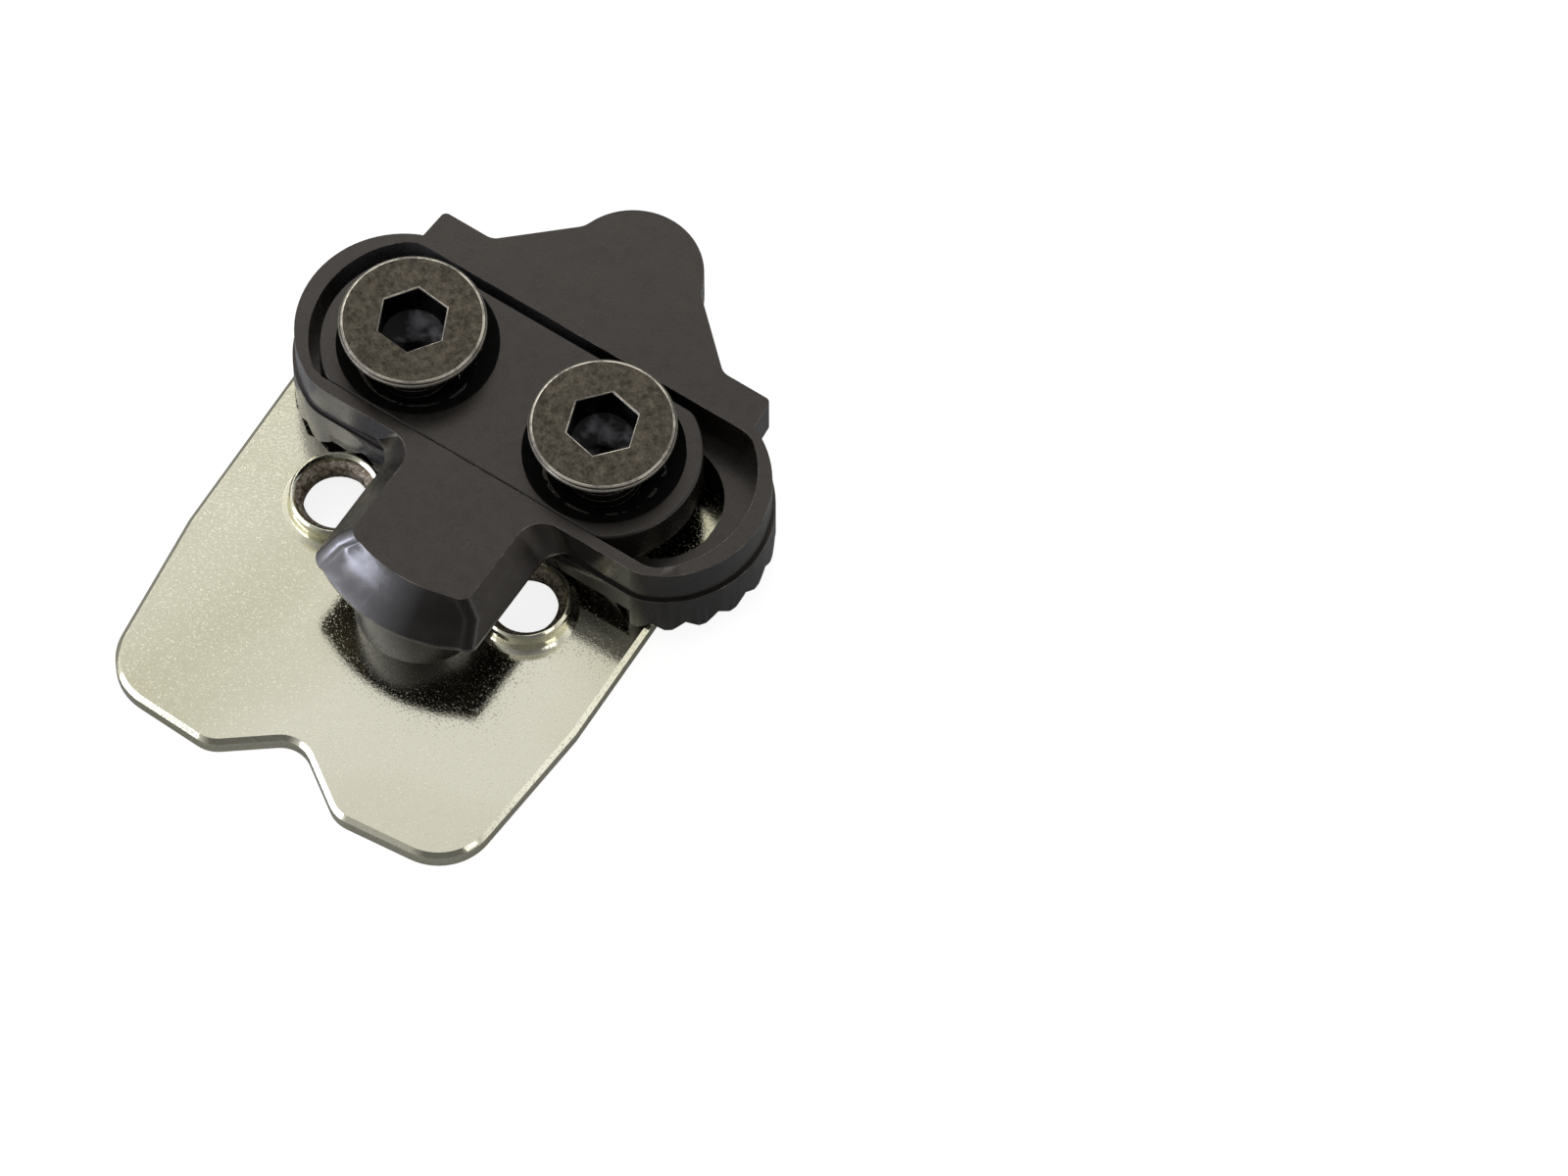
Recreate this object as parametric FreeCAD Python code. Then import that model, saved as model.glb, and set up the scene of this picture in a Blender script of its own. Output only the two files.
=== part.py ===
import FreeCAD, Part
import math
import os

# Two-bolt pedal cleat with its nut plate, adapter plate and two screws. All sizes are in millimetres.
# X runs across the shoe, Y towards the nose of the cleat, Z up. The origin lies midway between the two
# front threaded holes, on the underside of the nut plate.

# Screws and the holes they share with the plates
HOLE_SPACING = 14.0
THREAD_D = 5.0
THREAD_FIT = 0.05
HEAD_D = 9.35
HEAD_RIM = 0.45
HEAD_EDGE = 0.2
HEAD_LIFT = 2.8
SCREW_LENGTH = 10.95
SOCKET_ACROSS_FLATS = 4.0
SOCKET_DEPTH = 2.3
SOCKET_POINT = 0.6
SOCKET_TURN_LEFT = -7.0
SOCKET_TURN_RIGHT = -13.0
SCREW_TIP_CHAMFER = 0.6

# Nut plate, one pressing with four threaded collars drawn up from the sheet
PLATE_T = 1.5
PLATE_HALF_WIDTH = 14.35
PLATE_FRONT = 6.5
PLATE_FRONT_CORNER_R = 3.5
PLATE_TAPER_START = -15.0
PLATE_REAR_HALF_WIDTH = 13.2
PLATE_REAR = -27.15
PLATE_REAR_CORNER_R = 3.8
LOBE_HALF_WIDTH = 4.7
LOBE_REAR = -27.75
LOBE_R = 2.2
NOTCH_APEX = -24.3
NOTCH_R = 2.0
PLATE_TOP_EDGE = 0.3
PLATE_UNDER_EDGE = 0.25
ROW_SPACING = 9.3
COLLAR_R = 2.95
COLLAR_H = 1.6
COLLAR_FLARE_R = 3.4
COLLAR_FLARE_H = 0.55
COLLAR_LIP = 0.15
COLLAR_MOUTH = 0.2
COLLAR_DRAW = 0.6

# Adapter plate, which lies in the recess of the cleat and carries the screw seats
ADAPTER_T = 3.0
ADAPTER_HALF_WIDTH = 5.35
ADAPTER_END_R = 6.2
ADAPTER_CORNER_R = 1.5
ADAPTER_EDGE = 0.12
ADAPTER_SHIFT_X = 0.25
ADAPTER_SHIFT_Y = -0.1
ADAPTER_HOLE_PLAY = 0.42
SEAT_R = 5.15

# Cleat body: toothed flange below, claw layer with nose and shoulders above, rear claw on its neck
CLEAT_OFFSET = 1.7
CLEAT_SHIFT_Y = 0.15
CLEAT_TURN = -1.6
CLEAT_TRAVEL = 2.3
FLANGE_T = 3.7
CLAW_T = 3.1
BODY_HALF_LENGTH = 16.6
BODY_HALF_WIDTH = 6.4
BODY_END_R = 6.8
BODY_CORNER_R = 3.0
FLANGE_STEP = 0.2
RECESS_FIT = 0.3
RECESS_END_R = 6.9
RECESS_CORNER_R = 2.0
LEDGE_SIDE = 1.35
LEDGE_END = 2.0
NOSE_TIP = 15.75
NOSE_R = 4.5
WAIST_HALF_WIDTH = 4.35
WAIST_Y = 12.4
WAIST_FILLET_R = 1.5
SHOULDER_INNER = 8.7
SHOULDER_OUTER = 12.3
SHOULDER_Y = 8.4
SHOULDER_FOOT = 12.95
SHOULDER_FILLET_R = 1.0
SHOULDER_TIP_R = 0.4
TAIL_TOP_HALF_WIDTH = 4.4
TAIL_TOP_CORNER_Y = -13.3
TAIL_TOP_REAR = -14.6
TAIL_RIDGE_HALF_WIDTH = 5.35
TAIL_RIDGE_CORNER_Y = -13.7
TAIL_RIDGE_REAR = -16.0
TAIL_RIDGE_DROP = 1.2
TAIL_HALF_WIDTH = 6.0
TAIL_CORNER_Y = -15.2
TAIL_REAR = -17.25
TAIL_DROP = 2.1
TAIL_CORNER_R = 0.9
TAIL_ROOT_R = 1.8
TAIL_LIP = 0.3
NECK_R = 4.2
NECK_REAR = -16.8
COLLAR_CLEARANCE = 0.15
TOOTH_PITCH = 2.2
TOOTH_DEPTH = 0.85
TOOTH_GROOVE = 1.7

UP = FreeCAD.Vector(0, 0, 1)
OVERCUT = 1.0

# Heights and places that follow from the sizes above
HOLE_X = HOLE_SPACING / 2
THREAD_R = THREAD_D / 2
BORE_R = THREAD_R + THREAD_FIT
STEP_Z = PLATE_T + FLANGE_T
TOP_Z = STEP_Z + CLAW_T
LEDGE_Z = TOP_Z - ADAPTER_T
HEAD_TOP_Z = TOP_Z + HEAD_LIFT
ADAPTER_HALF_LENGTH = HOLE_X + ADAPTER_END_R
RECESS_HALF_LENGTH = ADAPTER_HALF_LENGTH + CLEAT_TRAVEL
RECESS_HALF_WIDTH = ADAPTER_HALF_WIDTH + RECESS_FIT


def point(x, y, z=0.0):
    return FreeCAD.Vector(x, y, z)


def rounded_outline(corners, z):
    """Closed wire at height z through (x, y, radius) corners, each rounded by a tangent arc."""
    starts = []
    edges = []
    count = len(corners)
    for index in range(count):
        x, y, radius = corners[index]
        here = point(x, y, z)
        before = point(corners[index - 1][0], corners[index - 1][1], z)
        after = point(corners[(index + 1) % count][0], corners[(index + 1) % count][1], z)
        to_before = (before - here).normalize()
        to_after = (after - here).normalize()
        if radius == 0:
            starts.append((here, here))
            continue
        half_angle = to_before.getAngle(to_after) / 2
        reach = radius / math.tan(half_angle)
        middle = (to_before + to_after).normalize()
        arc_centre = here + middle * (radius / math.sin(half_angle))
        arc_start = here + to_before * reach
        arc_end = here + to_after * reach
        arc_middle = arc_centre - middle * radius
        edges.append((index, Part.Arc(arc_start, arc_middle, arc_end).toShape()))
        starts.append((arc_start, arc_end))
    arcs = dict(edges)
    ordered = []
    for index in range(count):
        if index in arcs:
            ordered.append(arcs[index])
        line_start = starts[index][1]
        line_end = starts[(index + 1) % count][0]
        if line_start.distanceToPoint(line_end) > 1e-6:
            ordered.append(Part.makeLine(line_start, line_end))
    return Part.Wire(ordered)


def prism(wire, height):
    return Part.Face(wire).extrude(UP * height)


def mirrored(right_half):
    """Corner list of a symmetric outline, from the corners of its right half listed front to rear."""
    left_half = [(-x, y, radius) for x, y, radius in reversed(right_half) if x != 0]
    return right_half + left_half


def cylinder(radius, x, y, bottom, top):
    return Part.makeCylinder(radius, top - bottom, point(x, y, bottom), UP)


def cone(bottom_radius, top_radius, x, y, bottom, top):
    return Part.makeCone(bottom_radius, top_radius, top - bottom, point(x, y, bottom), UP)


def round_upright_edges(solid, places, radius):
    """Fillet the upright edges of a prism that stand at the given (x, y) places."""
    chosen = []
    for edge in solid.Edges:
        box = edge.BoundBox
        upright = box.XLength < 1e-4 and box.YLength < 1e-4
        near = any(math.hypot(box.XMin - x, box.YMin - y) < 0.05 for x, y in places)
        if upright and near:
            chosen.append(edge)
    return solid.makeFillet(radius, chosen)


def edges_at_height(solid, z):
    """Edges that lie wholly in the plane at height z."""
    flat = [edge for edge in solid.Edges if edge.BoundBox.ZLength < 1e-4]
    return [edge for edge in flat if abs(edge.BoundBox.ZMin - z) < 1e-4]


def oblong(half_length, half_width, end_radius, corner_radius, bottom, top):
    """Block with straight sides and round ends, whose arcs may be larger than the half width."""
    end_x = half_length - end_radius
    core = Part.makeBox(2 * end_x, 2 * end_radius, top - bottom, point(-end_x, -end_radius, bottom))
    ends = [cylinder(end_radius, side * end_x, 0, bottom, top) for side in (-1, 1)]
    block = core.fuse(ends).removeSplitter()
    if end_radius <= half_width:
        return block
    band = Part.makeBox(2 * half_length, 2 * half_width, top - bottom, point(-half_length, -half_width, bottom))
    block = block.common(band)
    corner_x = end_x + math.sqrt(end_radius ** 2 - half_width ** 2)
    corners = [(sx * corner_x, sy * half_width) for sx in (-1, 1) for sy in (-1, 1)]
    return round_upright_edges(block, corners, corner_radius)


def collar(x, y):
    """Threaded collar as it is drawn up from the sheet, flared at the foot and bevelled at the lip."""
    top = PLATE_T + COLLAR_H
    knee_r = COLLAR_R + (COLLAR_FLARE_R - COLLAR_R) * 0.3
    knee_z = PLATE_T + COLLAR_FLARE_H * 0.35
    wall = cylinder(COLLAR_R, x, y, 0, top - COLLAR_LIP)
    lip = cone(COLLAR_R, COLLAR_R - COLLAR_LIP, x, y, top - COLLAR_LIP, top)
    foot = cone(COLLAR_FLARE_R, knee_r, x, y, PLATE_T, knee_z)
    knee = cone(knee_r, COLLAR_R, x, y, knee_z, PLATE_T + COLLAR_FLARE_H)
    return wall.fuse([lip, foot, knee])


def collar_bore(x, y):
    """Hole through a collar: thread bore, bevelled mouth and the hollow left by drawing on the underside."""
    top = PLATE_T + COLLAR_H
    bore = cylinder(BORE_R, x, y, -OVERCUT, top + OVERCUT)
    mouth = cone(BORE_R, BORE_R + COLLAR_MOUTH + OVERCUT, x, y, top - COLLAR_MOUTH, top + OVERCUT)
    hollow = cone(BORE_R + COLLAR_DRAW, BORE_R, x, y, 0, COLLAR_DRAW)
    return bore.fuse([mouth, hollow])


def nut_plate():
    """Backing plate with a notched rear edge and two rows of threaded collars."""
    right_half = [
        (PLATE_HALF_WIDTH, PLATE_FRONT, PLATE_FRONT_CORNER_R),
        (PLATE_HALF_WIDTH, PLATE_TAPER_START, 0),
        (PLATE_REAR_HALF_WIDTH, PLATE_REAR, PLATE_REAR_CORNER_R),
        (LOBE_HALF_WIDTH, LOBE_REAR, LOBE_R),
        (0, NOTCH_APEX, NOTCH_R),
    ]
    sheet = prism(rounded_outline(mirrored(right_half), 0), PLATE_T)
    sheet = sheet.makeChamfer(PLATE_UNDER_EDGE, edges_at_height(sheet, 0))
    sheet = sheet.makeChamfer(PLATE_TOP_EDGE, edges_at_height(sheet, PLATE_T))
    places = [(side * HOLE_X, row) for side in (-1, 1) for row in (0, -ROW_SPACING)]
    plate = sheet.fuse([collar(x, y) for x, y in places])
    plate = plate.cut(Part.makeCompound([collar_bore(x, y) for x, y in places]))
    return plate.removeSplitter()


def adapter_plate():
    """Thick washer plate with two countersunk holes, lying on the ledge of the recess."""
    plate = oblong(
        ADAPTER_HALF_LENGTH, ADAPTER_HALF_WIDTH, ADAPTER_END_R, ADAPTER_CORNER_R, LEDGE_Z, LEDGE_Z + ADAPTER_T
    )
    plate = plate.makeChamfer(ADAPTER_EDGE, edges_at_height(plate, LEDGE_Z + ADAPTER_T))
    hole_radius = THREAD_R + ADAPTER_HOLE_PLAY
    for side in (-1, 1):
        hole = cylinder(hole_radius, side * HOLE_X, 0, LEDGE_Z - OVERCUT, TOP_Z + OVERCUT)
        seat_bottom = TOP_Z - (SEAT_R - hole_radius)
        seat = cone(hole_radius, SEAT_R + OVERCUT, side * HOLE_X, 0, seat_bottom, TOP_Z + OVERCUT)
        plate = plate.cut(hole.fuse(seat))
    plate.rotate(point(0, 0), UP, CLEAT_TURN)
    plate.translate(point(ADAPTER_SHIFT_X, ADAPTER_SHIFT_Y))
    return plate.removeSplitter()


def front_claw():
    """Nose, waist and shoulders of the claw layer."""
    right_half = [
        (WAIST_HALF_WIDTH, WAIST_Y, 0),
        (SHOULDER_INNER, SHOULDER_Y, 0),
        (SHOULDER_OUTER, SHOULDER_Y, 0),
        (SHOULDER_FOOT, 0, 0),
    ]
    shoulders = prism(rounded_outline(mirrored(right_half), STEP_Z), CLAW_T)
    nose_y = NOSE_TIP - NOSE_R
    nose = cylinder(NOSE_R, 0, nose_y, STEP_Z, TOP_Z)
    claw = shoulders.fuse(nose).removeSplitter()
    meeting_y = nose_y + math.sqrt(NOSE_R ** 2 - WAIST_HALF_WIDTH ** 2)
    claw = round_upright_edges(claw, [(-WAIST_HALF_WIDTH, meeting_y), (WAIST_HALF_WIDTH, meeting_y)], WAIST_FILLET_R)
    claw = round_upright_edges(
        claw, [(-SHOULDER_INNER, SHOULDER_Y), (SHOULDER_INNER, SHOULDER_Y)], SHOULDER_FILLET_R
    )
    return round_upright_edges(
        claw, [(-SHOULDER_OUTER, SHOULDER_Y), (SHOULDER_OUTER, SHOULDER_Y)], SHOULDER_TIP_R
    )


def arc(start, middle, end):
    return Part.Arc(start, middle, end).toShape()


def tail_outline(half_width, corner_y, rear_y, z):
    """Outline of the rear claw at one height: flared root, straight sides, short corners, curved rear edge."""
    root_y = -BODY_HALF_WIDTH
    root_x = half_width + TAIL_ROOT_R
    inner_x = half_width - TAIL_CORNER_R
    corner_drop = TAIL_CORNER_R * 0.8
    bend = TAIL_ROOT_R * (1 - math.sqrt(0.5))
    right = [
        point(root_x, 0, z),
        point(root_x, root_y, z),
        point(half_width + bend, root_y - bend, z),
        point(half_width, root_y - TAIL_ROOT_R, z),
        point(half_width, corner_y, z),
        point(half_width - TAIL_CORNER_R * 0.3, corner_y - corner_drop * 0.65, z),
        point(inner_x, corner_y - corner_drop, z),
    ]
    left = [point(-p.x, p.y, z) for p in right]
    edges = [Part.makeLine(left[0], right[0])]
    edges.append(Part.makeLine(right[0], right[1]))
    edges.append(arc(right[1], right[2], right[3]))
    edges.append(Part.makeLine(right[3], right[4]))
    edges.append(arc(right[4], right[5], right[6]))
    edges.append(arc(right[6], point(0, rear_y, z), left[6]))
    edges.append(arc(left[6], left[5], left[4]))
    edges.append(Part.makeLine(left[4], left[3]))
    edges.append(arc(left[3], left[2], left[1]))
    edges.append(Part.makeLine(left[1], left[0]))
    return Part.Wire(edges)


def collar_paths():
    """Room that the two rear collars need as the cleat is moved along its recess, in the cleat's own frame."""
    radius = COLLAR_FLARE_R + COLLAR_CLEARANCE
    top = PLATE_T + COLLAR_H + COLLAR_CLEARANCE
    turn = FreeCAD.Rotation(UP, -CLEAT_TURN)
    rest_x = CLEAT_OFFSET - ADAPTER_SHIFT_X
    paths = []
    for side in (-1, 1):
        place = turn.multVec(point(side * HOLE_X - CLEAT_OFFSET, -ROW_SPACING - CLEAT_SHIFT_Y))
        first_x = place.x + rest_x - CLEAT_TRAVEL
        last_x = place.x + rest_x + CLEAT_TRAVEL
        band = Part.makeBox(last_x - first_x, 2 * radius, top, point(first_x, place.y - radius, 0))
        ends = [cylinder(radius, x, place.y, 0, top) for x in (first_x, last_x)]
        paths.append(band.fuse(ends).removeSplitter())
    return paths


def rear_claw():
    """Bevelled rear claw on its neck, which passes over and between the rear collars."""
    low_z = TOP_Z - TAIL_DROP
    ridge_z = TOP_Z - TAIL_RIDGE_DROP
    low = tail_outline(TAIL_HALF_WIDTH, TAIL_CORNER_Y, TAIL_REAR, low_z)
    ridge = tail_outline(TAIL_RIDGE_HALF_WIDTH, TAIL_RIDGE_CORNER_Y, TAIL_RIDGE_REAR, ridge_z)
    top = tail_outline(TAIL_TOP_HALF_WIDTH, TAIL_TOP_CORNER_Y, TAIL_TOP_REAR, TOP_Z)
    lower_bevel = Part.makeLoft([low, ridge], True, True)
    upper_bevel = Part.makeLoft([ridge, top], True, True)
    lip_z = low_z - TAIL_LIP
    lip = prism(tail_outline(TAIL_HALF_WIDTH, TAIL_CORNER_Y, TAIL_REAR, lip_z), TAIL_LIP)
    neck_y = NECK_REAR + NECK_R
    neck = cylinder(NECK_R, 0, neck_y, PLATE_T, lip_z)
    web_z = PLATE_T + COLLAR_H + COLLAR_CLEARANCE
    web = Part.makeBox(2 * NECK_R, -neck_y, lip_z - web_z, point(-NECK_R, neck_y, web_z))
    return upper_bevel.fuse([lower_bevel, lip, neck, web])


def tooth_grooves():
    """V grooves square to the edge of the flange, evenly spaced all the way round."""
    half_width = BODY_HALF_WIDTH + FLANGE_STEP
    reach = BODY_END_R + FLANGE_STEP
    end_x = BODY_HALF_LENGTH - BODY_END_R
    straight = 2 * end_x
    turn = math.pi * reach
    perimeter = 2 * (straight + turn)
    count = round(perimeter / TOOTH_PITCH)
    section = Part.makePolygon([
        point(-TOOTH_GROOVE / 2, 0, PLATE_T),
        point(TOOTH_GROOVE / 2, 0, PLATE_T),
        point(0, 0, PLATE_T + TOOTH_DEPTH),
        point(-TOOTH_GROOVE / 2, 0, PLATE_T),
    ])
    groove = Part.Face(section).extrude(point(0, half_width + OVERCUT))
    grooves = []
    for index in range(count):
        along = (index + 0.5) * perimeter / count
        if along < straight:
            x, angle = along - end_x, 0.0
        elif along < straight + turn:
            x, angle = end_x, (along - straight) / reach
        elif along < 2 * straight + turn:
            x, angle = end_x - (along - straight - turn), math.pi
        else:
            x, angle = -end_x, math.pi + (along - 2 * straight - turn) / reach
        copy = groove.copy()
        copy.rotate(point(0, 0), UP, -math.degrees(angle))
        copy.translate(point(x, 0))
        grooves.append(copy)
    return Part.makeCompound(grooves)


def cleat_body():
    """The hardened steel cleat in one piece."""
    flange = oblong(
        BODY_HALF_LENGTH + FLANGE_STEP, BODY_HALF_WIDTH + FLANGE_STEP, BODY_END_R + FLANGE_STEP, BODY_CORNER_R,
        PLATE_T, STEP_Z
    )
    upper = oblong(BODY_HALF_LENGTH, BODY_HALF_WIDTH, BODY_END_R, BODY_CORNER_R, STEP_Z, TOP_Z)
    body = upper.fuse([front_claw(), flange]).removeSplitter()
    body = body.fuse(rear_claw()).removeSplitter()
    recess = oblong(
        RECESS_HALF_LENGTH, RECESS_HALF_WIDTH, RECESS_END_R, RECESS_CORNER_R, LEDGE_Z, TOP_Z + OVERCUT
    )
    slot_half_width = RECESS_HALF_WIDTH - LEDGE_SIDE
    slot = oblong(
        RECESS_HALF_LENGTH - LEDGE_END, slot_half_width, slot_half_width, 0, PLATE_T - OVERCUT, TOP_Z
    )
    body = body.cut(recess.fuse(slot))
    body = body.cut(tooth_grooves())
    body = body.cut(collar_paths())
    body.rotate(point(0, 0), UP, CLEAT_TURN)
    body.translate(point(CLEAT_OFFSET, CLEAT_SHIFT_Y))
    return body


def screw(side, socket_turn):
    """Flat-headed screw with a conical seat and a hexagon socket; its thread is a plain shank."""
    head_r = HEAD_D / 2
    tip_z = HEAD_TOP_Z - SCREW_LENGTH
    rim_z = HEAD_TOP_Z - HEAD_RIM
    cone_z = rim_z - (head_r - THREAD_R)
    profile = Part.makePolygon([
        point(0, 0, HEAD_TOP_Z),
        point(head_r - HEAD_EDGE, 0, HEAD_TOP_Z),
        point(head_r, 0, HEAD_TOP_Z - HEAD_EDGE),
        point(head_r, 0, rim_z),
        point(THREAD_R, 0, cone_z),
        point(THREAD_R, 0, tip_z + SCREW_TIP_CHAMFER),
        point(THREAD_R - SCREW_TIP_CHAMFER, 0, tip_z),
        point(0, 0, tip_z),
        point(0, 0, HEAD_TOP_Z),
    ])
    solid = Part.Face(profile).revolve(point(0, 0), UP, 360)
    corner_r = SOCKET_ACROSS_FLATS / 2 / math.cos(math.radians(30))
    floor_z = HEAD_TOP_Z - SOCKET_DEPTH
    angles = [math.radians(socket_turn + 60 * corner) for corner in range(7)]
    hexagon = Part.makePolygon([point(corner_r * math.cos(a), corner_r * math.sin(a), floor_z) for a in angles])
    socket = Part.Face(hexagon).extrude(UP * (SOCKET_DEPTH + OVERCUT))
    drill = cone(0, SOCKET_ACROSS_FLATS / 2, 0, 0, floor_z - SOCKET_POINT, floor_z)
    solid = solid.cut(socket.fuse(drill))
    solid.translate(point(side * HOLE_X, 0))
    return solid


def main():
    os.makedirs("parts", exist_ok=True)
    pieces = {
        "nut_plate": nut_plate(),
        "adapter_plate": adapter_plate(),
        "cleat_body": cleat_body(),
        "screw_left": screw(-1, SOCKET_TURN_LEFT),
        "screw_right": screw(1, SOCKET_TURN_RIGHT),
    }
    for name, shape in pieces.items():
        shape.exportStep("parts/" + name + ".step")
        box = shape.BoundBox
        print(name, "solids", len(shape.Solids), "valid", shape.isValid(), "volume", round(shape.Volume, 1))
        print("  box", [round(v, 2) for v in (box.XMin, box.XMax, box.YMin, box.YMax, box.ZMin, box.ZMax)])


main()
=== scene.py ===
import math

import bmesh
import bpy
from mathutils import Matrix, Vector


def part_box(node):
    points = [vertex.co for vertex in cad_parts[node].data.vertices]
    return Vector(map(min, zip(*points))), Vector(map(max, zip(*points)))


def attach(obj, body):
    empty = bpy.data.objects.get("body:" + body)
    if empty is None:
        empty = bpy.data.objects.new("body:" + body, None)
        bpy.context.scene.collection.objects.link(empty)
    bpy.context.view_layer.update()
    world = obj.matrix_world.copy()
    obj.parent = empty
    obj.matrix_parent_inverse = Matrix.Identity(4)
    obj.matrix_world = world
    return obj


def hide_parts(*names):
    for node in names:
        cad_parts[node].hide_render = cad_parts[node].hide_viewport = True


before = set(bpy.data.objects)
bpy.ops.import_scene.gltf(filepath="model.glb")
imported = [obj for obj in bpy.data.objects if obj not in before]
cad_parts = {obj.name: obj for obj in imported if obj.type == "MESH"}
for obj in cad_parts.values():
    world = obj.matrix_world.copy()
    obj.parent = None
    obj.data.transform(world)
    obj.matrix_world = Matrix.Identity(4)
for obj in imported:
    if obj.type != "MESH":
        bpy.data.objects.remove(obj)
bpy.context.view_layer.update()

MM = 0.001

# Camera: the scale and the angle of the photograph
IMAGE_SIZE = (1600, 1200)
SENSOR_WIDTH = 36
AZIMUTH = math.radians(31.8)
ELEVATION = math.radians(62.2)
DISTANCE = 0.8
PX_PER_MM = 16.4
HEADS_MIDDLE = Vector((0, 0, 11.1 * MM))
HEADS_MIDDLE_PX = (517.7, 379.0)

# Places in the solids that the finishes follow. Heights above the plate's underside, and depths
# below a screw head's top.
HOLE_X = 7.0 * MM
REAR_ROW_Y = -9.3 * MM
SEAT_RIM_R = 5.2 * MM
SEAT_REACH = 5.6 * MM
GLINT_RING_Z = 7.0 * MM
TAIL_BEVEL_Y = -12.4 * MM
HEAD_DEPTH = 2.625 * MM
CONE_FOOT = 0.02 * MM
HEAD_SIDE = 0.5 * MM
HEAD_EDGES = 0.6 * MM
SOCKET_R = 2.35 * MM
SOCKET_FLOOR_Z = 6.0 * MM
SAME_HEIGHT = 0.01 * MM

# Up or down part of a face's normal: below the first for a wall, above the others for a flat face
WALL_NORMAL = 0.2
FLAT_TAIL_NORMAL = 0.97
FLAT_SEAT_NORMAL = 0.95

# Drawn threads
THREAD_PITCH = 0.8 * MM
SHANK_WALL_R = 2.3 * MM
SHANK_ROOT_R = 2.06 * MM
SHANK_CREST_R = 2.46 * MM
RIDGE_BITE = 0.05 * MM
TIP_GAP = 0.6 * MM
HEAD_GAP = 0.1 * MM
COLLAR_PITCH = THREAD_PITCH * 0.8
COLLAR_ROOT_R = 2.57 * MM
COLLAR_CREST_R = 2.1 * MM
COLLAR_THREAD_LOW = 0.75 * MM
COLLAR_THREAD_HIGH = 2.75 * MM
STEPS_PER_TURN = 40
TAPER_TURNS = 0.5
RIDGE_HALF_FOOT = 0.42
RIDGE_HALF_CREST = 0.07

# Rounding of edges
SHARP_DEGREES = 28
FLAT_DEGREES = 0.6
WELD = 0.0005 * MM

# Colours that more than one finish uses
OXIDE = (0.0115, 0.0095, 0.0078)
WARM_GLOSS = (1.0, 0.92, 0.85)
WHITE = (1.0, 1.0, 1.0)

# Floor and surround
FLOOR_HALF_WIDTH = 3.0
FLOOR_GAP = 0.02 * MM
FLOOR_GREY = (0.45, 0.45, 0.45)
FLOOR_GLOW = 0.85
DARK_SIDE = Vector((0.55, -0.72, 0.42))
SURROUND_LIGHT = 0.4

# Lamps: place, aim, width and height in metres, power in watts, colour
LAMPS = {
    "key": ((-0.25, 0.45, 0.55), (0, 0, 0), (0.40, 0.30), 0.6, (1.0, 0.98, 0.95)),
    "fill": ((0.52, -0.1, 0.36), (0, 0, 0), (0.2, 0.35), 0.3, (1.0, 0.99, 0.97)),
    "left_back": ((-0.34, 0.20, 0.46), (0, 0, 0), (0.20, 0.20), 0.3, WHITE),
    "cool_side": ((-0.41, -0.44, 0.15), (0, -0.01, 0), (0.42, 0.22), 1.2, (0.80, 0.84, 1.0)),
}


def place_camera():
    """Puts the middle of the two screw heads where the photograph has it."""
    right = Vector((math.cos(AZIMUTH), math.sin(AZIMUTH), 0))
    back = Vector((
        math.sin(AZIMUTH) * math.cos(ELEVATION),
        -math.cos(AZIMUTH) * math.cos(ELEVATION),
        math.sin(ELEVATION),
    ))
    up = back.cross(right)
    to_centre_x = (IMAGE_SIZE[0] / 2 - HEADS_MIDDLE_PX[0]) / PX_PER_MM * MM
    to_centre_y = (HEADS_MIDDLE_PX[1] - IMAGE_SIZE[1] / 2) / PX_PER_MM * MM
    centre = HEADS_MIDDLE + right * to_centre_x + up * to_centre_y
    data = bpy.data.cameras.new("camera")
    data.sensor_width = SENSOR_WIDTH
    data.lens = PX_PER_MM * DISTANCE / MM / IMAGE_SIZE[0] * SENSOR_WIDTH
    data.clip_start = 0.01
    data.clip_end = 20
    camera = bpy.data.objects.new("camera", data)
    bpy.context.scene.collection.objects.link(camera)
    camera.location = centre + back * DISTANCE
    camera.rotation_euler = back.to_track_quat("Z", "Y").to_euler()
    bpy.context.scene.camera = camera


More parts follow.
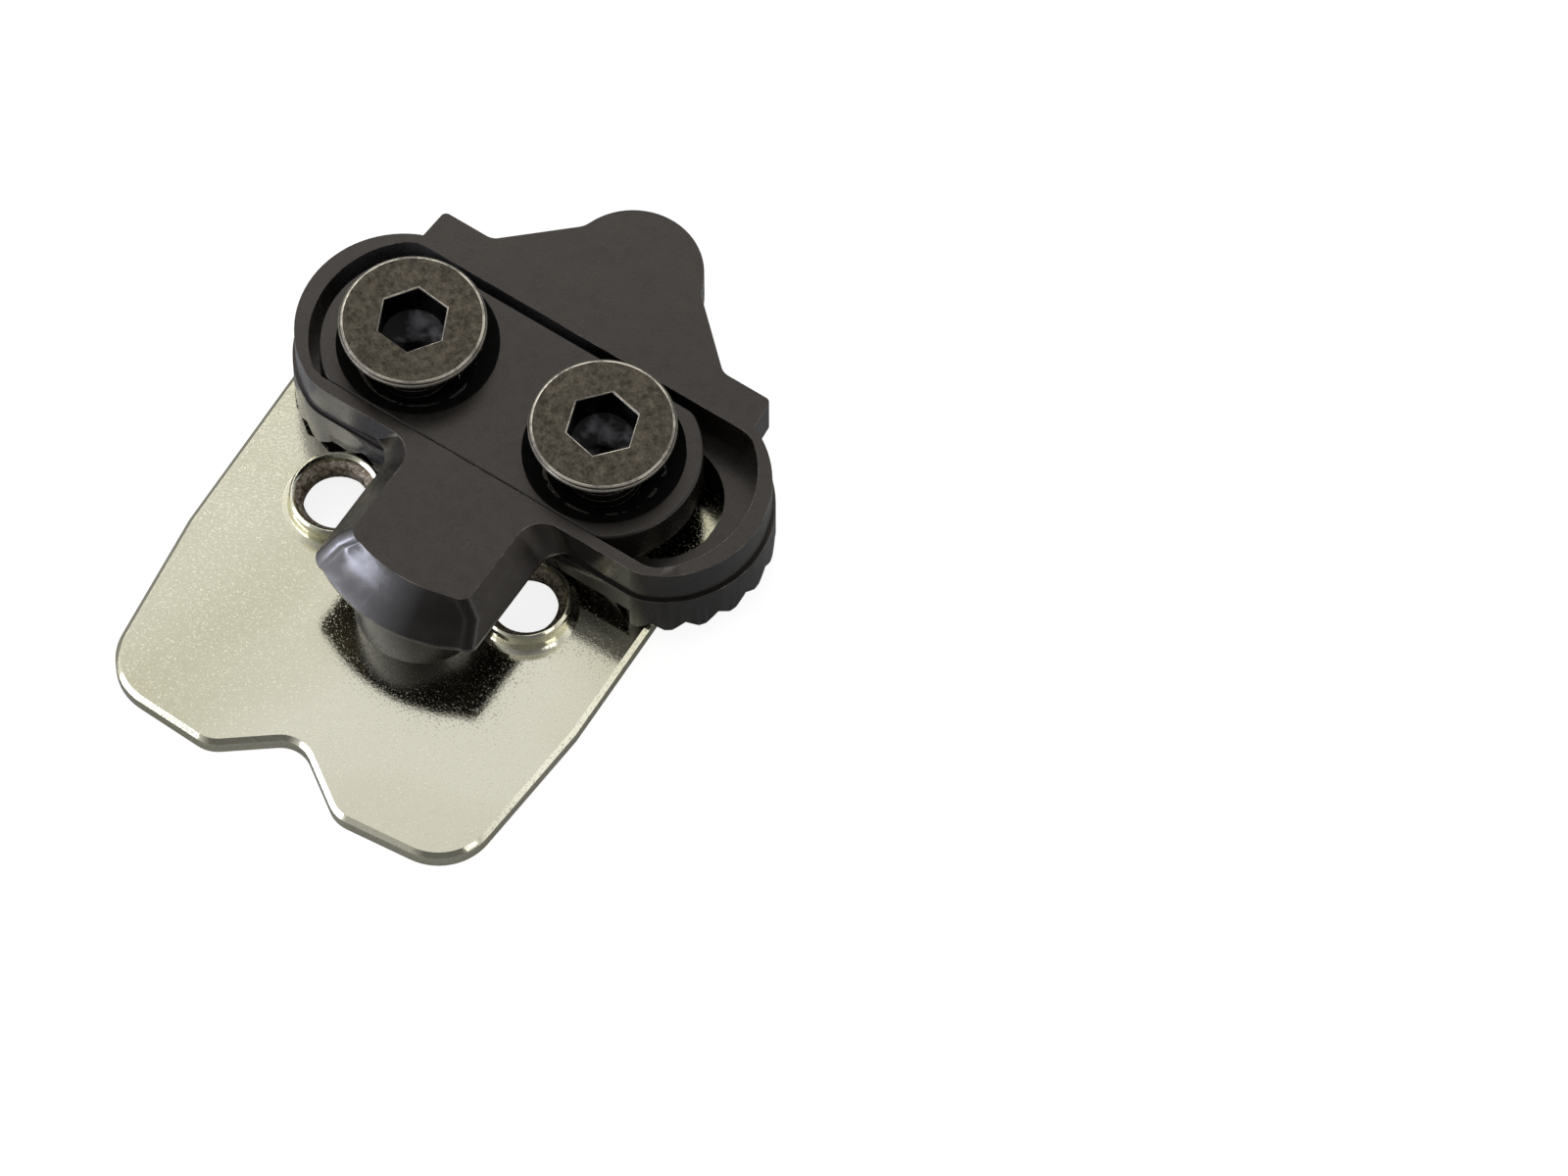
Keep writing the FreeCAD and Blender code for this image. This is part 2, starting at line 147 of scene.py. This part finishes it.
class Nodes:
    """Adds and links the nodes of one node tree."""

    def __init__(self, tree):
        self.tree = tree
        self.tree.nodes.clear()
        self.coordinates = self.add("ShaderNodeTexCoord").outputs

    def add(self, kind, **values):
        node = self.tree.nodes.new(kind)
        for key, value in values.items():
            setattr(node, key, value)
        return node

    def link(self, source, target):
        self.tree.links.new(source, target)

    def split(self, vector):
        """The X, Y and Z outputs of a vector."""
        node = self.add("ShaderNodeSeparateXYZ")
        self.link(vector, node.inputs[0])
        return node.outputs

    def noise(self, scale, detail, rough, warp=0.0):
        node = self.add("ShaderNodeTexNoise")
        node.inputs["Scale"].default_value = scale
        node.inputs["Detail"].default_value = detail
        node.inputs["Roughness"].default_value = rough
        node.inputs["Distortion"].default_value = warp
        self.link(self.coordinates["Object"], node.inputs["Vector"])
        return node.outputs["Fac"]

    def ramp(self, value, low, high, out_low=0.0, out_high=1.0):
        node = self.add("ShaderNodeMapRange")
        node.inputs["From Min"].default_value = low
        node.inputs["From Max"].default_value = high
        node.inputs["To Min"].default_value = out_low
        node.inputs["To Max"].default_value = out_high
        self.link(value, node.inputs["Value"])
        return node.outputs[0]

    def math(self, operation, *values):
        node = self.add("ShaderNodeMath", operation=operation)
        for socket, value in zip(node.inputs, values):
            if isinstance(value, (int, float)):
                socket.default_value = value
            else:
                self.link(value, socket)
        return node.outputs[0]

    def mix(self, factor, a, b):
        node = self.add("ShaderNodeMix", data_type="RGBA")
        self.link(factor, node.inputs[0])
        for socket, value in ((node.inputs[6], a), (node.inputs[7], b)):
            if isinstance(value, tuple):
                socket.default_value = (*value, 1)
            else:
                self.link(value, socket)
        return node.outputs[2]

    def bump(self, height, distance, strength, over=None):
        node = self.add("ShaderNodeBump")
        node.inputs["Strength"].default_value = strength
        node.inputs["Distance"].default_value = distance
        self.link(height, node.inputs["Height"])
        if over:
            self.link(over, node.inputs["Normal"])
        return node.outputs[0]


class Finish(Nodes):
    """Nodes of one material, around a Principled shader."""

    def __init__(self, name):
        self.material = bpy.data.materials.new(name)
        self.material.use_nodes = True
        super().__init__(self.material.node_tree)
        self.shader = self.add("ShaderNodeBsdfPrincipled")
        self.link(self.shader.outputs[0], self.add("ShaderNodeOutputMaterial").inputs[0])

    def uneven(self, low, high, scale=1500, detail=3, rough=0.6):
        """Roughness that wanders between two values."""
        return self.ramp(self.noise(scale, detail, rough), 0.3, 0.7, low, high)

    def grain(self, distance, strength, over=None):
        """The fine grain of the dark steels."""
        return self.bump(self.noise(4200, 4, 0.7), distance, strength, over)

    def set(self, **values):
        for key, value in values.items():
            socket = self.shader.inputs[key.replace("_", " ")]
            if isinstance(value, (int, float)):
                socket.default_value = value
            elif isinstance(value, tuple):
                socket.default_value = (*value, 1)
            else:
                self.link(value, socket)
        return self.material


def plated_steel():
    """Zinc plating: faint yellowish clouds, fine pits and a slightly wavy sheet below."""
    n = Finish("plated_steel")
    cloud = n.ramp(n.noise(38, 2, 0.5, warp=0.5), 0.36, 0.62)
    tint = n.mix(cloud, (0.68, 0.65, 0.45), (0.90, 0.875, 0.72))
    speck = n.ramp(n.noise(3000, 3, 0.7), 0.45, 0.8, 0.0, 0.4)
    skin = n.mix(speck, tint, (0.90, 0.88, 0.75))
    pits = n.ramp(n.noise(7500, 2, 0.5), 0.55, 0.68)
    waves = n.bump(n.noise(120, 2, 0.5), 0.08 * MM, 0.3)
    return n.set(
        Base_Color=n.mix(pits, skin, (0.55, 0.53, 0.43)),
        Metallic=1.0,
        Roughness=n.ramp(pits, 0.0, 1.0, 0.07, 0.34),
        Normal=n.bump(n.noise(5200, 3, 0.7), 0.008 * MM, 0.7, waves),
    )


def black_oxide(name, base):
    n = Finish(name)
    cloud = n.ramp(n.noise(240, 4, 0.6), 0.35, 0.7)
    lumps = n.bump(n.noise(700, 2, 0.5), 0.02 * MM, 0.35)
    return n.set(
        Base_Color=n.mix(cloud, base, tuple(1.5 * c for c in base)),
        Roughness=n.uneven(0.22, 0.34),
        Specular_IOR_Level=0.5,
        Specular_Tint=WARM_GLOSS,
        Normal=n.grain(0.007 * MM, 0.5, lumps),
    )


def painted_sheen_flank():
    """Walls and rear bevel of the cleat: a painted sheen of lighter grey steel at the rear left, black
    oxide elsewhere.
    """
    n = Finish("blackened_steel_painted_sheen")
    # Painted sheen: lighter metallic steel on rear-facing faces at the cleat's left, in patches.
    leftward = n.ramp(n.split(n.coordinates["Object"])["X"], 3.2 * MM, -2.2 * MM)
    rearward = n.ramp(n.split(n.coordinates["Normal"])["Y"], -0.1, -0.55)
    patchy = n.ramp(n.noise(330, 3, 0.6, warp=0.4), 0.25, 0.75, 0.55, 1.0)
    wear_and_sheen = n.math("MULTIPLY", n.math("MULTIPLY", leftward, rearward), patchy)
    return n.set(
        Base_Color=n.mix(wear_and_sheen, OXIDE, (0.29, 0.285, 0.30)),
        Metallic=n.math("MULTIPLY", wear_and_sheen, 0.9),
        Roughness=n.uneven(0.20, 0.30),
        Normal=n.grain(0.006 * MM, 0.5),
    )


def rubbed_edge(name, base, bare, rough, coverage):
    """Edge finish: the dark skin rubbed through to bare steel in short stretches, on a base colour that
    some pieces set lighter than their faces as a painted edge highlight.
    """
    n = Finish(name)
    wear_and_sheen = n.ramp(n.noise(520, 5, 0.75), coverage, coverage + 0.16)
    return n.set(
        Base_Color=n.mix(wear_and_sheen, base, bare),
        Metallic=n.math("MULTIPLY", wear_and_sheen, 0.85),
        Roughness=n.uneven(rough - 0.06, rough + 0.08, scale=1800),
        Normal=n.grain(0.006 * MM, 0.6),
    )


def thread_zinc():
    """Cut thread in the plate's collars: dull, brownish and gritty."""
    n = Finish("plated_thread")
    grit = n.ramp(n.noise(3500, 4, 0.8), 0.4, 0.62)
    return n.set(
        Base_Color=n.mix(grit, (0.16, 0.105, 0.075), (0.72, 0.66, 0.55)),
        Metallic=0.9,
        Roughness=n.uneven(0.35, 0.6),
        Normal=n.bump(grit, 0.02 * MM, 0.8),
    )


def screw_steel():
    """Mottled brown-grey oxide of the screw heads."""
    n = Finish("screw_steel")
    blotch = n.ramp(n.noise(2300, 5, 0.8), 0.38, 0.64)
    return n.set(
        Base_Color=n.mix(blotch, (0.026, 0.022, 0.016), (0.095, 0.082, 0.062)),
        Metallic=0.85,
        Roughness=n.uneven(0.34, 0.52, scale=1400, detail=4, rough=0.7),
        Normal=n.grain(0.01 * MM, 0.6),
    )


def painted_socket_shade():
    """Painted shade inside the hexagon sockets: near-black steel, with soft grey blotches as painted
    glints.
    """
    n = Finish("painted_socket_shade")
    blotch = n.ramp(n.noise(420, 3, 0.6), 0.50, 0.66)
    return n.set(
        Base_Color=n.mix(blotch, (0.010, 0.009, 0.010), (0.085, 0.082, 0.088)),
        Metallic=0.9,
        Roughness=n.uneven(0.20, 0.32, scale=1400),
        Specular_IOR_Level=0.3,
    )


def shaded_steel():
    """Painted shade: near-black steel below a screw's head and on the thread's flanks."""
    n = Finish("screw_steel_shaded")
    blotch = n.ramp(n.noise(1800, 4, 0.7), 0.4, 0.65)
    return n.set(
        Base_Color=n.mix(blotch, (0.006, 0.005, 0.004), (0.022, 0.019, 0.016)),
        Metallic=0.4,
        Roughness=0.5,
        Specular_IOR_Level=0.2,
    )


def seat_shade_and_glint_steel():
    """Countersunk seat: near-black painted shade, with a broken bright metal ring as a painted glint."""
    n = Finish("dark_washer_seat_painted_shade_and_glint")
    height = n.split(n.coordinates["Object"])["Z"]
    offset = n.math("ABSOLUTE", n.math("SUBTRACT", height, GLINT_RING_Z))
    band = n.ramp(offset, 0.05 * MM, 0.14 * MM, 1.0, 0.0)
    glint_ring = n.math("MULTIPLY", band, n.ramp(n.noise(900, 3, 0.6), 0.47, 0.53))
    return n.set(
        Base_Color=n.mix(glint_ring, (0.0030, 0.0026, 0.0022), (0.62, 0.58, 0.50)),
        Metallic=glint_ring,
        Roughness=n.ramp(glint_ring, 0.0, 1.0, 0.5, 0.2),
        Specular_IOR_Level=0.12,
    )


body_black = black_oxide("blackened_steel", OXIDE)
# Cleat slot 1, walls and rear bevel: black oxide with a painted sheen at the rear left.
body_painted_sheen = painted_sheen_flank()
# Cleat edges: rubbed wear, and a base lighter than the faces as a painted edge highlight.
body_wear_and_highlight = rubbed_edge("blackened_steel_rubbed_and_highlight", (0.040, 0.036, 0.032), (0.45, 0.42, 0.38), 0.28, 0.45)
washer_black = black_oxide("dark_washer_steel", (0.0105, 0.0087, 0.0072))
washer_seat_shade_and_glint = seat_shade_and_glint_steel()
washer_worn = rubbed_edge(
    "dark_washer_steel_rubbed", (0.011, 0.0095, 0.008), (0.07, 0.065, 0.056), 0.34, 0.6
)
# Screw head edges and thread crests: lighter steel as a painted rim highlight and painted glints, with
# rubbed wear.
screw_wear_and_glint = rubbed_edge("screw_steel_rubbed_and_glint", (0.20, 0.18, 0.15), (0.52, 0.48, 0.41), 0.3, 0.4)
plated = plated_steel()
plated_cut = thread_zinc()
screw_skin = screw_steel()
socket_shade_and_glint = painted_socket_shade()
screw_shaded = shaded_steel()


def add_piece(name, bm, body, materials):
    """Turns a bmesh into a named piece that rides on a body."""
    mesh = bpy.data.meshes.new(name)
    bm.to_mesh(mesh)
    bm.free()
    for material in materials:
        mesh.materials.append(material)
    piece = bpy.data.objects.new(name, mesh)
    bpy.context.scene.collection.objects.link(piece)
    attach(piece, body)
    return piece


def merged_copy(node_name):
    """The node's solid as a bmesh of whole flat faces, ready for rounding."""
    bm = bmesh.new()
    bm.from_mesh(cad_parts[node_name].data)
    bmesh.ops.remove_doubles(bm, verts=bm.verts, dist=WELD)
    bmesh.ops.dissolve_limit(
        bm, angle_limit=math.radians(FLAT_DEGREES), verts=bm.verts, edges=bm.edges,
        use_dissolve_boundaries=False
    )
    return bm


def mark_sharp_edges(bm, angle, where=None, hollows=False):
    """Gives full bevel weight to ridges sharper than the angle, and to hollows too if asked."""
    layer = bm.edges.layers.float.new("bevel_weight_edge")
    for edge in bm.edges:
        if len(edge.link_faces) != 2 or not (edge.is_convex or hollows):
            continue
        if edge.calc_face_angle(0) > angle and (where is None or where(edge)):
            edge[layer] = 1.0


def crease_unrounded(bm, angle):
    """Hard shading at every sharp edge that isn't going to be rounded."""
    layer = bm.edges.layers.float["bevel_weight_edge"]
    for edge in bm.edges:
        if len(edge.link_faces) == 2 and edge[layer] == 0 and edge.calc_face_angle(0) > angle:
            edge.smooth = False


def round_edges(piece, width, segments=3):
    """Bevels the weighted edges in the piece's last material and keeps its flat faces flat."""
    bevel = piece.modifiers.new("rounded edges", "BEVEL")
    bevel.width = width
    bevel.segments = segments
    bevel.limit_method = "WEIGHT"
    bevel.use_clamp_overlap = True
    bevel.material = len(piece.data.materials) - 1
    flat = piece.modifiers.new("flat faces", "WEIGHTED_NORMAL")
    flat.weight = 100
    flat.thresh = 0.0
    flat.keep_sharp = True


def rounded_piece(
    name, node_name, body, materials, width,
    segments=3, angle=SHARP_DEGREES, hollows=False, where=None, finish=None
):
    """A node's solid with its sharp edges rounded and, if given, a material slot chosen for each face."""
    bm = merged_copy(node_name)
    mark_sharp_edges(bm, math.radians(angle), where, hollows)
    crease_unrounded(bm, math.radians(angle))
    for face in bm.faces:
        face.smooth = True
        if finish:
            face.material_index = finish(face)
    piece = add_piece(name, bm, body, materials)
    round_edges(piece, width, segments)
    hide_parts(node_name)


def helix_ridge(bm, centre, root_r, crest_r, low_z, high_z, pitch, crest_slot=0):
    """One continuous thread ridge, tapering to nothing at both ends."""
    turns = (high_z - low_z) / pitch
    count = int(turns * STEPS_PER_TURN)
    taper = STEPS_PER_TURN * TAPER_TURNS
    foot = pitch * RIDGE_HALF_FOOT
    flat = pitch * RIDGE_HALF_CREST
    rows = []
    for index in range(count + 1):
        turn = index / STEPS_PER_TURN
        angle = 2 * math.pi * turn
        grow = min(1.0, index / taper, (count - index) / taper)
        crest = root_r + (crest_r - root_r) * grow
        rows.append([
            bm.verts.new((
                centre[0] + radius * math.cos(angle),
                centre[1] + radius * math.sin(angle),
                low_z + turn * pitch + dz,
            ))
            for radius, dz in ((root_r, -foot), (crest, -flat), (crest, flat), (root_r, foot))
        ])
    for low, high in zip(rows, rows[1:]):
        for k, slot in enumerate((0, crest_slot, 0)):
            face = bm.faces.new((low[k], high[k], high[k + 1], low[k + 1]))
            face.material_index = slot
            face.smooth = True


def screw_piece(name, node_name, body, x):
    """The screw, its shank thinned to the thread's root, and the thread as a piece of its own."""
    bm = merged_copy(node_name)
    low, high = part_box(node_name)
    top_z = high[2]
    cone_z = top_z - HEAD_DEPTH
    for vert in bm.verts:
        dx, dy = vert.co.x - x, vert.co.y
        radius = math.hypot(dx, dy)
        if vert.co.z < cone_z + CONE_FOOT and radius > SHANK_WALL_R:
            vert.co.x = x + dx * SHANK_ROOT_R / radius
            vert.co.y = dy * SHANK_ROOT_R / radius
    # Slot 1 inside the hexagon socket: painted shade with painted glints. Slot 2 below the head's top
    # edge: painted shade.
    for face in bm.faces:
        middle = face.calc_center_median()
        inside = math.hypot(middle.x - x, middle.y) < SOCKET_R
        deep = SOCKET_FLOOR_Z < middle.z < top_z - SAME_HEIGHT
        if inside and deep:
            face.material_index = 1
        elif middle.z < top_z - HEAD_SIDE:
            face.material_index = 2
        face.smooth = face.material_index != 1
    angle = math.radians(SHARP_DEGREES)
    mark_sharp_edges(bm, angle, lambda edge: min(v.co.z for v in edge.verts) > top_z - HEAD_EDGES)
    crease_unrounded(bm, angle)
    piece = add_piece(name, bm, body, (screw_skin, socket_shade_and_glint, screw_shaded, screw_wear_and_glint))
    round_edges(piece, width=0.09 * MM)
    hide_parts(node_name)
    # The thread: painted shade on its flanks, and lighter steel as painted glints on its crests.
    thread = bmesh.new()
    helix_ridge(
        thread, (x, 0), SHANK_ROOT_R - RIDGE_BITE, SHANK_CREST_R, low[2] + TIP_GAP, cone_z - HEAD_GAP,
        THREAD_PITCH, crest_slot=1
    )
    add_piece(name + "_thread", thread, body, (screw_shaded, screw_wear_and_glint))


def collar_thread(name, x):
    """Thread ridges inside an open rear collar."""
    bm = bmesh.new()
    helix_ridge(
        bm, (x, REAR_ROW_Y), COLLAR_ROOT_R, COLLAR_CREST_R, COLLAR_THREAD_LOW, COLLAR_THREAD_HIGH,
        COLLAR_PITCH
    )
    bmesh.ops.reverse_faces(bm, faces=bm.faces)
    add_piece(name, bm, "plates", (plated_cut,))


def flank_finish(face):
    """Slot 1 for the tail's rear bevel and for upright walls, slot 0 for the rest."""
    behind = face.calc_center_median().y < TAIL_BEVEL_Y
    bevel = behind and WALL_NORMAL < face.normal.z < FLAT_TAIL_NORMAL
    wall = abs(face.normal.z) < WALL_NORMAL
    return 1 if bevel or wall else 0


def from_hole(point):
    """Distance to the nearer screw's axis."""
    return min(math.hypot(point.x - x, point.y) for x in (-HOLE_X, HOLE_X))


def off_the_seats(edge):
    return min(from_hole(vert.co) for vert in edge.verts) > SEAT_RIM_R


def seat_finish(face):
    """Slot 1 for the countersunk seats and the holes, which face their axis, and slot 0 elsewhere."""
    middle = face.calc_center_median()
    axis_x = math.copysign(HOLE_X, middle.x)
    inward = (middle.x - axis_x) * face.normal.x + middle.y * face.normal.y < 0
    flat = abs(face.normal.z) >= FLAT_SEAT_NORMAL
    return 1 if inward and not flat and from_hole(middle) < SEAT_REACH else 0


rounded_piece(
    "backing_plate", "nut_plate", "plates", (plated,),
    width=0.2 * MM, segments=4, angle=14, hollows=True
)
rounded_piece(
    "cleat_shell", "cleat_body", "cleat", (body_black, body_painted_sheen, body_wear_and_highlight),
    width=0.24 * MM, finish=flank_finish
)
# Adapter slot 1, on its seats and holes: painted shade with a painted glint ring.
rounded_piece(
    "adapter_shell", "adapter_plate", "plates",
    (washer_black, washer_seat_shade_and_glint, washer_worn),
    width=0.05 * MM, where=off_the_seats, finish=seat_finish
)
screw_piece("left_socket_screw", "screw_left", "left_screw", -HOLE_X)
screw_piece("right_socket_screw", "screw_right", "right_screw", HOLE_X)
collar_thread("rear_left_thread", -HOLE_X)
collar_thread("rear_right_thread", HOLE_X)


def add_floor():
    """White to the camera, grey to light, so that it keeps the shadow and doesn't brighten the walls."""
    half = FLOOR_HALF_WIDTH
    corners = [(-half, -half, 0), (half, -half, 0), (half, half, 0), (-half, half, 0)]
    mesh = bpy.data.meshes.new("floor")
    mesh.from_pydata(corners, [], [(0, 1, 2, 3)])
    floor = bpy.data.objects.new("floor", mesh)
    bpy.context.scene.collection.objects.link(floor)
    floor.location.z = -FLOOR_GAP
    n = Finish("floor_white")
    path = n.add("ShaderNodeLightPath")
    mesh.materials.append(n.set(
        Base_Color=FLOOR_GREY,
        Roughness=0.9,
        Specular_IOR_Level=0.0,
        Emission_Color=WHITE,
        Emission_Strength=n.math("MULTIPLY", path.outputs["Is Camera Ray"], FLOOR_GLOW),
    ))


def add_world():
    """White surround; reflections get a dimmer zenith and a dark side, as in a small photo studio."""
    world = bpy.data.worlds.new("world")
    bpy.context.scene.world = world
    world.use_nodes = True
    n = Nodes(world.node_tree)
    direction = n.coordinates["Generated"]
    front = n.add("ShaderNodeVectorMath", operation="DOT_PRODUCT")
    front.inputs[1].default_value = DARK_SIDE.normalized()
    n.link(direction, front.inputs[0])
    dark_side = n.ramp(front.outputs["Value"], 0.35, 0.9, 1.0, 0.15)
    zenith = n.ramp(n.split(direction)["Z"], 0.3, 0.95, 1.0, 0.69)
    soft, mirrored, seen = (n.add("ShaderNodeBackground") for _ in range(3))
    for background in (soft, mirrored, seen):
        background.inputs["Color"].default_value = (*WHITE, 1)
    soft.inputs["Strength"].default_value = SURROUND_LIGHT
    n.link(n.math("MULTIPLY", dark_side, zenith), mirrored.inputs["Strength"])
    path = n.add("ShaderNodeLightPath")
    shader = soft
    for ray, other in (("Is Glossy Ray", mirrored), ("Is Camera Ray", seen)):
        mixed = n.add("ShaderNodeMixShader")
        n.link(path.outputs[ray], mixed.inputs[0])
        n.link(shader.outputs[0], mixed.inputs[1])
        n.link(other.outputs[0], mixed.inputs[2])
        shader = mixed
    n.link(shader.outputs[0], n.add("ShaderNodeOutputWorld").inputs[0])


def add_softbox(name, place, aim, size, power, color):
    data = bpy.data.lights.new(name, "AREA")
    data.shape = "RECTANGLE"
    data.size, data.size_y = size
    data.energy = power
    data.color = color
    lamp = bpy.data.objects.new(name, data)
    bpy.context.scene.collection.objects.link(lamp)
    lamp.location = place
    lamp.rotation_euler = (Vector(place) - Vector(aim)).to_track_quat("Z", "Y").to_euler()


bpy.context.scene.view_settings.view_transform = "Standard"
place_camera()
add_floor()
add_world()
for lamp_name, settings in LAMPS.items():
    add_softbox(lamp_name, *settings)
